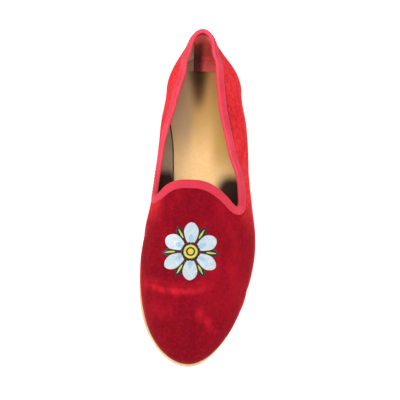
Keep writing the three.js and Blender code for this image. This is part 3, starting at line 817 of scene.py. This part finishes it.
def grip_cloth():
    """Red, a little darker low down as painted shade of the heel's well, and nearly black on the medial
    side as a painted shadow.
    """
    n = Nodes("grip_velvet")
    pile = n.noise(1300, 3, 0.6)
    nap = n.levels(n.noise(120, 3, 0.65, 0.6), 0.3, 0.7)
    height = n.axis(n.place, "Z")
    high = n.mix(nap, (1, 0.11, 0.12), (1, 0.21, 0.21))
    low = n.mix(nap, (0.85, 0.11, 0.11), (1, 0.2, 0.18))
    # Painted shade: a little darker low down in the heel's well
    color = n.mix(n.levels(height, 0.05, 0.024), high, low)
    # Painted shadow: nearly black on the medial side, running on down the sock
    color = n.tint(color, (0.03, 0.012, 0.01), n.outward(1, -4), n.levels(height, 0.049, 0.035), 0.93)
    color = n.mix(n.levels(pile, 0.3, 0.75, 0, 0.14), color, (0.3, 0.015, 0.02))
    return n.finish(color, 0.95, n.bump(pile, 0.0003, 0.7), **sheen(0.7, 0.5, (1, 0.2, 0.2)))


def stacked():
    n = Nodes("heel_leather")
    height = n.axis(n.place, "Z")
    band = n.wave(1, n.scaled(n.place, (0, 0, 280)), 0, "Z", "SAW")
    grain = n.noise(600, 4, 0.6, 0, n.scaled(n.place, (0.5, 0.5, 3)))
    color = n.mix(n.levels(grain, 0.3, 0.7), (0.24, 0.11, 0.052), (0.36, 0.18, 0.09))
    color = n.mix(n.levels(band, 0.02, 0.12, 0.75, 0), color, (0.06, 0.025, 0.012))
    color = n.mix(n.levels(height, 0.0088, 0.0035, 0, 0.25), color, (0.12, 0.05, 0.025))
    return n.finish(color, n.levels(grain, 0.2, 0.8, 0.38, 0.52), n.bump(grain, 0.0002, 0.5))


def rubber():
    n = Nodes("lift_rubber")
    grit = n.noise(900, 4, 0.65)
    scuff = n.noise(60, 4, 0.65, 0.8)
    color = n.mix(n.levels(scuff, 0.45, 0.7), (0.022, 0.018, 0.016), (0.075, 0.066, 0.06))
    return n.finish(color, n.levels(grit, 0.2, 0.8, 0.7, 0.92), n.bump(grit, 0.0002, 0.6))


def thread(name, light, dark, pitch=2400):
    """Satin stitch: fine threads across the shape, from its own UV map."""
    n = Nodes(name)
    strand = n.wave(pitch, n.uv, 0.4)
    mottle = n.noise(400, 3, 0.6)
    color = n.mix(n.levels(mottle, 0.3, 0.7), light, dark)
    color = n.mix(n.levels(strand, 0.05, 0.6, 0.45, 0), color, tuple(c * 0.45 for c in dark))
    normal = n.bump(strand, 0.00022, 0.8)
    return n.finish(color, 0.5, normal, Specular_IOR_Level=0.45, **sheen(0.25, 0.35))


def floor_material():
    n = Nodes("floor")
    cloud = n.noise(3)
    color = n.mix(cloud, (0.9, 0.9, 0.905), (0.92, 0.92, 0.92))
    glow = {"Emission_Color": (1, 1, 1), "Emission_Strength": 0.3}
    return n.finish(color, 0.9, Specular_IOR_Level=0.1, **glow)


VELVET = velvet()
TAPE_CLOTH = grosgrain()
LINING = leather("lining", (0.58, 0.43, 0.29), (0.46, 0.33, 0.22), 700, 0.65, 0.2, heel_lining_light_and_shade, 0.1)
SOCK = leather("sock", (0.88, 0.6, 0.3), (0.8, 0.52, 0.235), 620, 0.6, 0.15, sock_shade, 0.1)
SOCK_EDGE = leather("sock_edge", (0.05, 0.03, 0.022), (0.035, 0.02, 0.015), 500, 0.6, 0.2)
BOARD = leather("insole_board", (0.42, 0.3, 0.2), (0.33, 0.23, 0.15), 500, 0.7, 0.3, painted_corner_shade, 0.1)
SOLE = leather("sole_leather", (0.74, 0.55, 0.31), (0.62, 0.44, 0.245), 420, 0.55, 0.35)
GRIP_CLOTH = grip_cloth()
STACK = stacked()
RUBBER = rubber()
PALE = thread("thread_pale", (0.86, 0.93, 0.96), (0.62, 0.8, 0.92))
BLUE = thread("thread_blue", (0.6, 0.78, 0.9), (0.42, 0.64, 0.83))
YELLOW = thread("thread_yellow", (0.95, 0.82, 0.14), (0.88, 0.66, 0.05))
BLACK = thread("thread_black", (0.018, 0.016, 0.022), (0.009, 0.008, 0.012))
RED_THREAD = thread("thread_red", (0.8, 0.04, 0.08), (0.7, 0.03, 0.065), 5000)


# Upper: the velvet skin and the lining are two layers of one wall

# The velvet's puff beside the tape, its waves, the smooth place round the motif and the lining's share
PUFF = 0.25
PUFF_ROWS = 5
WAVES = {"seed": 7, "size": 34, "height": 0.22}
WAVE_START_ROWS = 8
MOTIF_CLEARING = (20, 27)
LINING_FOLD = 0.5


def layers():
    """Rows of the velvet's face and of the lining's, from under the tape to the turned-in margin."""
    under = smoothstep(near_distance, BINDING_WIDTH - 2 * GAP, BINDING_WIDTH + 2 * GAP)
    outer, inner = [], []
    for p, normal, k in zip(near, near_normal, under):
        outer.append(p + normal * blend(-GAP, PUFF, k))
        inner.append(p - normal * blend(CHANNEL - GAP, WALL, k))
    for row, (p, normal) in enumerate(zip(mid, mid_normal)):
        puff = PUFF * exp(-((row / PUFF_ROWS) ** 2))
        from_motif = np.linalg.norm(p - [MOTIF["at"] * LENGTH, MOTIF["x"], MOTIF["z"]], axis=-1)
        away = smoothstep(from_motif, *MOTIF_CLEARING)
        fold = crease_height(p) * away + ripple(p, **WAVES) * away * min(row / WAVE_START_ROWS, 1)
        outer.append(p + normal * (fold + puff)[..., None])
        inner.append(p + normal * (fold * LINING_FOLD - WALL)[..., None])
    for turn in turns:
        keep = cos(turn) ** 2
        fold = ((crease_height(mid[-1]) + ripple(mid[-1], **WAVES)) * keep)[..., None]
        outer.append(outer_tuck(turn) + mid_normal[-1] * fold)
        inner.append(inner_tuck(turn))
    outer.append(plan_inset(margin, bed_z + GAP))
    inner.append(plan_inset(margin, bed_z + GAP + WALL))
    return outer, inner


outer_rows, inner_rows = layers()
velvet_back = [blend(a, b, 0.5) for a, b in zip(outer_rows, inner_rows)]
lining_back = [blend(a, b, 0.56) for a, b in zip(outer_rows, inner_rows)]
fit(ring_object("upper_velvet", outer_rows + velvet_back[::-1], VELVET), "velvet", "upper")
lining_rows = [r[::2] for r in lining_back[::2] + inner_rows[::-2]]
fit(ring_object("upper_lining", lining_rows, LINING), "sock_leather", "upper")


# Binding: tape folded over the edge, worked from its section

def edge_point(distance, offset):
    """A row at a distance below the opening's edge (above it when negative) and off the surface."""
    offset = np.broadcast_to(offset, COUNT)[:, None]
    if distance < 0:
        rise = unit(near[0] - near[1])
        return near[0] - rise * distance + near_normal[0] * offset
    k = np.interp(distance, near_distance, np.arange(len(near)))
    low = min(int(k), len(near) - 2)
    p = blend(near[low], near[low + 1], k - low)
    normal = unit(blend(near_normal[low], near_normal[low + 1], k - low))
    return p + normal * offset


# The tape's slight crown, where its outer leaf and its slot begin below the edge, and its puckers
TAPE_CROWN = 0.12
OUTER_LEAF, SLOT = 0.5, 0.4
PUCKER = {"seed": 3, "size": 16, "height": 0.1}
PUCKERED_OVER = 0.3


def tape_section(steps=12, curve=17, hem_steps=7):
    """The closed section as (distance below the edge, offset) pairs, with rounded hems."""
    hem = TAPE / 2
    low = BINDING_WIDTH - hem
    turn = np.linspace(-pi / 2, pi / 2, hem_steps)
    pairs = [(low + hem * cos(t), hem + hem * sin(t)) for t in turn]
    for d in np.linspace(low, OUTER_LEAF, steps)[1:]:
        pairs.append((d, TAPE + TAPE_CROWN * sin(pi * d / BINDING_WIDTH)))
    middle, half = -CHANNEL / 2, CHANNEL / 2 + TAPE
    for t in np.linspace(0, pi, curve)[1:-1]:
        pairs.append((-(GAP + TAPE) * sin(t), middle + half * cos(t)))
    pairs += [(d, -CHANNEL - TAPE) for d in np.linspace(OUTER_LEAF, low, steps)[:-1]]
    pairs += [(low + hem * cos(t), -CHANNEL - hem + hem * sin(t)) for t in turn]
    slot = np.linspace(low, SLOT, steps)[1:]
    pairs += [(d, -CHANNEL) for d in slot]
    pairs += [(-GAP, -CHANNEL), (-GAP, 0)]
    pairs += [(d, 0) for d in slot[::-1]]
    return pairs


section = tape_section()
pucker = ripple(edge, **PUCKER)
tape_rows = [edge_point(d, o + (pucker if o > PUCKERED_OVER else 0)) for d, o in section]
tape_u = path_lengths(np.concatenate([edge, edge[:1]]))
tape_v = path_lengths(np.array(section + section[:1]))
fold_v = tape_v[int(np.argmin([d for d, _ in section]))]
tape_uv = [np.stack([tape_u, np.full(COUNT + 1, v - fold_v)], -1) / 1000 for v in tape_v]
fit(ring_object("binding_tape", tape_rows, TAPE_CLOTH, tape_uv, 50), "binding_tape", "topline_binding")


STITCH = {"hem": 1.2, "pitch": 2.6, "length": 1.8, "radius": 0.2}


def stitch(start, end, out, bag, sides=6, steps=6):
    """One thread stitch between two points, as a bent capsule, added to a bag of points and faces."""
    radius = STITCH["radius"]
    axis = unit(end - start)
    across = unit(np.cross(axis, out))
    rings = []
    for t in np.linspace(0, 1, steps + 1):
        thick = radius * sin(pi * min(max(t, 0.06), 0.94)) ** 0.4
        centre = blend(start, end, t) + out * radius * (sin(pi * t) * 1.6 - 0.7)
        turn = np.linspace(0, 2 * pi, sides, endpoint=False)[:, None]
        rings.append(centre + across * np.cos(turn) * thick + out * np.sin(turn) * thick)
    points, faces = bag
    base = len(points)
    points.extend(np.concatenate(rings))
    for k in range(steps):
        faces += bridge(base + k * sides, base + (k + 1) * sides, sides)
    faces.append(tuple(base + i for i in range(sides))[::-1])
    faces.append(tuple(base + steps * sides + i for i in range(sides)))


def hem_stitches():
    """The row of stitches along the tape's outer hem, as one mesh."""
    line = edge_point(BINDING_WIDTH - STITCH["hem"], TAPE + 0.02)
    closed = np.concatenate([line, line[:1]])
    normal = np.concatenate([near_normal[-1], near_normal[-1][:1]])
    sums = path_lengths(closed)
    count = int(sums[-1] / STITCH["pitch"])
    bag = ([], [])
    for d in np.arange(count) * sums[-1] / count:
        a, b = along(closed, np.array([d, d + STITCH["length"]]))
        out = unit(np.array([np.interp(d, sums, normal[:, k]) for k in range(3)]))
        stitch(a, b, out, bag)
    return mesh_object("binding_stitches", to_frame(np.array(bag[0])), bag[1], RED_THREAD)


fit(hem_stitches(), "binding_tape", "topline_binding")


# Insole: board, sock with its straight back edge, and the pad at the back of the heel

INSOLE_UNDER = GAP + WALL + GAP
INSOLE_TOP = INSOLE_UNDER + INSOLE
SOCK_THICKNESS = 0.9
SOCK_BACK = 16.3
BOARD_GAP = 0.4
SOCK_GAP = 0.6


def inner_inset(height):
    """How far the wall's inner face lies inside the girth, at a height over the sole's top."""
    z = bed_z + height
    turn = np.linspace(0, pi / 2, 61)
    heights = np.stack([inner_tuck(t)[:, 2] for t in turn])
    insets = np.stack([WALL + (sole_edge + INNER_FEATHER - WALL) * (1 - cos(t)) for t in turn])
    return np.array([np.interp(-z[i], -heights[:, i], insets[:, i]) for i in range(COUNT)])


def insole_row(height, extra=0):
    return plan_inset(inner_inset(height) + BOARD_GAP + extra, bed_z + height)


board_top = INSOLE_TOP - SOCK_THICKNESS
board_rows = [
    plan_inset(margin + BOARD_GAP, bed_z + GAP),
    plan_inset(margin + BOARD_GAP, bed_z + INSOLE_UNDER),
    insole_row(INSOLE_UNDER),
    insole_row(board_top),
]
fit(stack_object("insole_board", [r[::2] for r in board_rows], BOARD, 40), "sock_leather", "insole")

# The sock's medial edge: it leaves the wall in the waist
SOCK_EDGE_LINE = table(
    "at x",
    (0, -40), (0.2, -28), (0.256, -24.2), (0.34, -21.3), (0.43, -20.6), (0.55, -26), (0.7, -40),
)
EDGE_STRIP = 0.8
DARK_EDGE = {"rows": (1, 2), "inside": -15, "from": 0.225, "to": 0.47}


def sock_row(extra, height):
    row = insole_row(INSOLE_TOP, SOCK_GAP + extra)
    line = column(SOCK_EDGE_LINE, "x", row[:, 0] / LENGTH) + extra
    row[:, 1] = np.maximum(row[:, 1], line)
    row[:, 0] = np.maximum(row[:, 0], SOCK_BACK + extra)
    row[:, 2] = bed(row[:, 0] / LENGTH) + height
    return row


def sock():
    """The sock, with a dark edge where it stands clear of the medial wall: partly the cut edge's own dark
    colour, partly painted shadow in the gap beside it.
    """
    rows = [
        sock_row(0.15, board_top + 0.02),
        sock_row(0, board_top + 0.2),
        sock_row(0, INSOLE_TOP - 0.3),
        sock_row(EDGE_STRIP, INSOLE_TOP),
        sock_row(EDGE_STRIP + 0.3, INSOLE_TOP + 0.02),
    ]
    obj = stack_object("insole_sock", rows, SOCK, 50)
    # Dark edge faces: partly the cut edge's own colour, partly painted shadow
    obj.data.materials.append(SOCK_EDGE)
    for polygon in obj.data.polygons:
        row, i = divmod(polygon.index, COUNT)
        s, x = rows[0][i][:2]
        in_waist = DARK_EDGE["from"] * LENGTH < s < DARK_EDGE["to"] * LENGTH
        if row in DARK_EDGE["rows"] and x < DARK_EDGE["inside"] and in_waist:
            polygon.material_index = 1
    return obj


fit(sock(), "sock_leather", "insole")


# The pad at the back of the heel: the places of its sides at its foot and top, and its thickness
GRIP = {"medial_low": -8.1, "medial_high": -8.3, "lateral": 10.5, "thickness": 0.7}
GRIP_COLUMNS = 23
POINTS_BEHIND = 60


def at_x(row, x):
    """Points of a row behind the heel, at distances x across the shoe."""
    behind = np.arange(POINTS_BEHIND, -POINTS_BEHIND - 1, -1)
    return np.stack([np.interp(x, row[behind, 1], row[behind, k]) for k in range(row.shape[1])], -1)


def grip_patch():
    """Down the wall and on over the board to the sock's back edge."""
    face, back = [], []

    def lay(row, normal, gap=WALL + GAP):
        rise = smoothstep(row[0, 2], SEAT, BACK_HEIGHT - BINDING_WIDTH)
        medial = blend(GRIP["medial_low"], GRIP["medial_high"], rise)
        x = np.linspace(medial, GRIP["lateral"], GRIP_COLUMNS)
        face.append(at_x(row - normal * (gap + GRIP["thickness"]), x))
        back.append(at_x(row - normal * (gap - GAP * 0.6), x))

    lay(near[-1], near_normal[-1])
    for row, normal in zip(mid, mid_normal):
        lay(row, normal)
    for height in np.linspace(girth_z(0) - bed(0), INSOLE_TOP + 0.9, 5)[1:]:
        lay(plan_inset(inner_inset(height), bed_z + height), mid_normal[-1], GAP)
    foot, x = face[-1][:, 0], face[-1][:, 1]
    for t in np.linspace(0, 1, 6):
        s = blend(foot + GRIP["thickness"], SOCK_BACK - 0.15, t)
        dip = 0.35 * (1 - t) ** 3
        face.append(np.stack([s, x, bed(0) + INSOLE_TOP - 0.12 + dip + 0 * x], -1))
        back.append(np.stack([s, x, bed(0) + board_top + 0.04 + 0 * x], -1))
    return np.array(face), np.array(back)


fit(patch_object("heel_grip_cloth", *grip_patch(), GRIP_CLOTH, None, 50), "grip_velvet", "heel_grip")


# Sole, stacked heel and top lift

SOLE_ROUNDING = 0.9
GROOVE_DEPTH = 0.35
EDGE_BULGE = 0.12


def sole_profile():
    """(inset, height) pairs from the underside's middle, over its groove and round the edge to the top."""
    r = SOLE_ROUNDING
    quarter = np.linspace(0, pi / 2, 5)
    pairs = [(14, 0), (7, 0), (6.4, 0), (6, GROOVE_DEPTH), (5.6, 0), (5, 0), (2, 0)]
    pairs += [(r * (1 - sin(t)), r * (1 - cos(t))) for t in quarter]
    pairs += [(0, OUTSOLE * 0.35), (-EDGE_BULGE, OUTSOLE * 0.5), (0, OUTSOLE * 0.65)]
    pairs += [(r * (1 - cos(t)), OUTSOLE - r * (1 - sin(t))) for t in quarter]
    return pairs


sole_rows = [plan_inset(sole_edge + inset, bed_z - OUTSOLE + rise) for inset, rise in sole_profile()]
fit(stack_object("outsole_leather", sole_rows, SOLE, 45), "sole_leather", "outsole")

HEEL_TOP = SEAT - OUTSOLE - GAP
HEEL_INSET_LOW, HEEL_INSET_HIGH = 1.2, 0.4
LEATHER_LIFT = 1.7
EDGE_HEIGHT, EDGE_DEPTH = 0.22, 0.28
RUBBER_PROFILE = [
    (6, 0), (2, 0), (1.75, 0.08), (1.35, 0.4), (1.2, 0.8), (1.2, LIFT - 0.2), (1.35, LIFT),
]


def heel_height(at, level):
    """A level of the heel, lower where the sole over it falls towards the breast."""
    return np.minimum(level, bed(at) - OUTSOLE - GAP - (HEEL_TOP - level) * 0.4)


def heel_loop(inset, level):
    """The sole's loop behind the breast, closed by the breast's straight face."""
    whole = plan_inset(sole_edge + inset, heel_height(station, level))
    breast = BREAST * LENGTH
    medial = [p for p in whole[:TOE] if p[0] < breast - 0.5]
    lateral = [p for p in whole[TOE:] if p[0] < breast - 0.5]
    count = min(len(medial) - 1, len(lateral))
    corners = []
    for side in (MEDIAL, LATERAL):
        x = girth_x(BREAST, side) - side * (column(SOLE_EDGE, "medial", BREAST) + inset)
        corners.append(np.array([breast, x, heel_height(BREAST, level)]))
    return np.array(medial[: count + 1] + corners + lateral[len(lateral) - count :])


def heel_layers():
    """Three lifts of leather, each with softened edges and a fine groove between."""
    rows = []
    bottoms = [LIFT + GAP + LEATHER_LIFT * i for i in range(3)]
    for low, high in zip(bottoms, bottoms[1:] + [HEEL_TOP]):
        inset = blend(HEEL_INSET_LOW, HEEL_INSET_HIGH, (low - LIFT) / (HEEL_TOP - LIFT))
        rows.append(heel_loop(inset + EDGE_DEPTH, low))
        rows += [heel_loop(inset, level) for level in (low + EDGE_HEIGHT, high - EDGE_HEIGHT)]
        rows.append(heel_loop(inset + EDGE_DEPTH, high))
    return rows


lift_rows = [heel_loop(inset, level) for inset, level in RUBBER_PROFILE]
fit(stack_object("heel_stack_leather", heel_layers(), STACK, 35), "heel_leather", "heel_stack")
fit(stack_object("heel_lift_rubber", lift_rows, RUBBER, 35), "lift_rubber", "heel_top_lift")


# Embroidery: padded satin-stitch shapes laid on the vamp

def on_vamp(u, v, raise_by):
    """u mm outward and v mm towards the toe from the motif's middle, raised off the velvet."""
    p = lifted(np.stack([MOTIF["at"] * LENGTH + v, MOTIF["x"] + u], -1))
    return p + unit(skin_gradient(p)) * np.asarray(raise_by)[..., None]


def raised(name, u, v, height, uv, material):
    """A patch of embroidery that rises to heights over the velvet, with its U and V in mm."""
    top = on_vamp(u, v, MOTIF["lift"] + height)
    bottom = on_vamp(u, v, MOTIF["lift"] + 0 * u)
    return patch_object(name, top, bottom, material, np.stack(uv, -1) / 1000)


def pad(angle, start, length, width, height, fullness, tip, base, material):
    """A leaf-shaped pad from start along an angle, with a rounded section; its UV runs along it."""
    a = np.linspace(0, 1, 29)[:, None]
    b = np.linspace(-1, 1, 17)[None, :]
    half = width / 2 * np.sin(pi * np.clip(a**tip, 0, 1)) ** fullness + 0.02
    r = start + length * a + 0 * b
    w = half * b
    u = r * sin(angle) + w * cos(angle)
    v = w * sin(angle) - r * cos(angle)
    dome = np.sqrt(np.maximum(1 - b * b, 0)) * np.minimum(half / (width / 2) * 1.2, 1)
    return raised("pad", u, v, base + 0.12 + height * dome, (r + w * 0.35, w), material)


def disc(name, radius, height, material, base, hole=None):
    """A round pad, or a ring with a rounded section where it has a hole."""
    a = np.linspace(0, 2 * pi, 49)[None, :]
    if hole is None:
        k = np.linspace(0.02, 1, 13)[:, None]
        dome = np.sqrt(np.maximum(1 - k * k, 0)) + 0 * a
        spread = radius * a * 0.6
    else:
        k = np.linspace(hole / radius, 1, 9)[:, None]
        dome = np.sin(np.linspace(0, pi, 9))[:, None] ** 0.6 + 0 * a
        spread = radius * a
    u, v = radius * k * np.sin(a), -radius * k * np.cos(a)
    uv = (spread + 0 * k, radius * k + 0 * a)
    return raised(name, u, v, base + 0.1 + height * dome, uv, material)


# The flower's pads: turn in petals, start, length, width, height, fullness, tip, base height and thread
PADS = {
    "flower_leaves": (0.5, 8, 12.5, 7, 0.3, 0.75, 0.8, 0, BLACK),
    "flower_veins": (0.5, 11, 7.5, 1.3, 0.2, 0.7, 0.8, 0.34, YELLOW),
    "flower_petals": (0, 4.5, 16.3, 10.6, 0.42, 0.55, 1.25, 0.2, PALE),
    "flower_shades": (0, 6, 6.5, 3.4, 0.2, 0.7, 1, 0.62, BLUE),
}
flower = []
for name, (turn, *sizes) in PADS.items():
    angles = [2 * pi * (i + turn) / MOTIF["petals"] for i in range(MOTIF["petals"])]
    flower.append(joined(name, [pad(angle, *sizes) for angle in angles]))
flower += [
    disc("flower_rim", 6.9, 0.3, BLACK, 0.5, 4.9),
    disc("flower_middle", 5.1, 0.42, YELLOW, 0.5),
    disc("flower_ring", 3.3, 0.22, BLACK, 0.86, 2.1),
]
for piece in flower:
    fit(piece, "embroidery", "vamp_motif")


# Stage, light and camera

def make_floor(size=6.0, below=0.0002):
    corners = np.array([(-size, -size, 0), (size, -size, 0), (size, size, 0), (-size, size, 0)])
    floor = mesh_object("floor", corners, [(0, 1, 2, 3)], floor_material())
    floor.location = (0, 0, -below)


def area_light(name, place, target, size, energy, color=(1, 1, 1)):
    light = bpy.data.lights.new(name, "AREA")
    light.shape = "DISK"
    light.size = size
    light.energy = energy
    light.color = color
    obj = placed(name, light)
    obj.location = place
    obj.rotation_euler = (Vector(target) - Vector(place)).to_track_quat("-Z", "Y").to_euler()


make_floor()
area_light("key", (-1.1, -0.5, 1.7), (0, 0, 0), 1.1, 26, (1, 0.985, 0.965))
area_light("top", (0.12, -0.5, 2.05), (0, 0, 0), 1.6, 22)
area_light("fill", (1.5, -0.9, 1.1), (0, 0, 0.03), 1.4, 9)

world = bpy.data.worlds.new("studio")
world.use_nodes = True
background = world.node_tree.nodes["Background"]
background.inputs["Color"].default_value = (1, 1, 1, 1)
background.inputs["Strength"].default_value = 0.55
bpy.context.scene.world = world
bpy.context.scene.view_settings.view_transform = "Standard"

CAMERA_PLACE = Vector((-0.0168, -0.6427, 1.2361))
AIM = Vector((0, -0.002, 0.024))
IMAGE_PX = 400
HEEL_TO_TOE_PX = (-9.5, 206)
FOCAL_PX = 1860
HEEL_MARK = (7.5, -2.5, BACK_HEIGHT)
TOE_MARK = (LENGTH, -4.6, 9)


def make_camera():
    """At the photograph's place over the shoe, turned to it and rolled to the photograph's lean."""
    data = bpy.data.cameras.new("camera")
    camera = placed("camera", data)
    data.sensor_width = 36
    data.lens = FOCAL_PX / IMAGE_PX * data.sensor_width
    data.clip_end = 50
    direction = (AIM - CAMERA_PLACE).normalized()
    turn = direction.to_track_quat("-Z", "Y").to_matrix()

    def seen(mark):
        local = turn.transposed() @ (Vector(to_frame(np.array(mark))) - CAMERA_PLACE)
        return local.x / -local.z, local.y / -local.z

    (ax, ay), (bx, by) = seen(HEEL_MARK), seen(TOE_MARK)
    lean = atan2(bx - ax, ay - by) - atan2(*HEEL_TO_TOE_PX)
    turn = turn @ Matrix.Rotation(lean, 3, "Z")
    camera.matrix_world = Matrix.Translation(CAMERA_PLACE) @ turn.to_4x4()
    bpy.context.scene.camera = camera


make_camera()
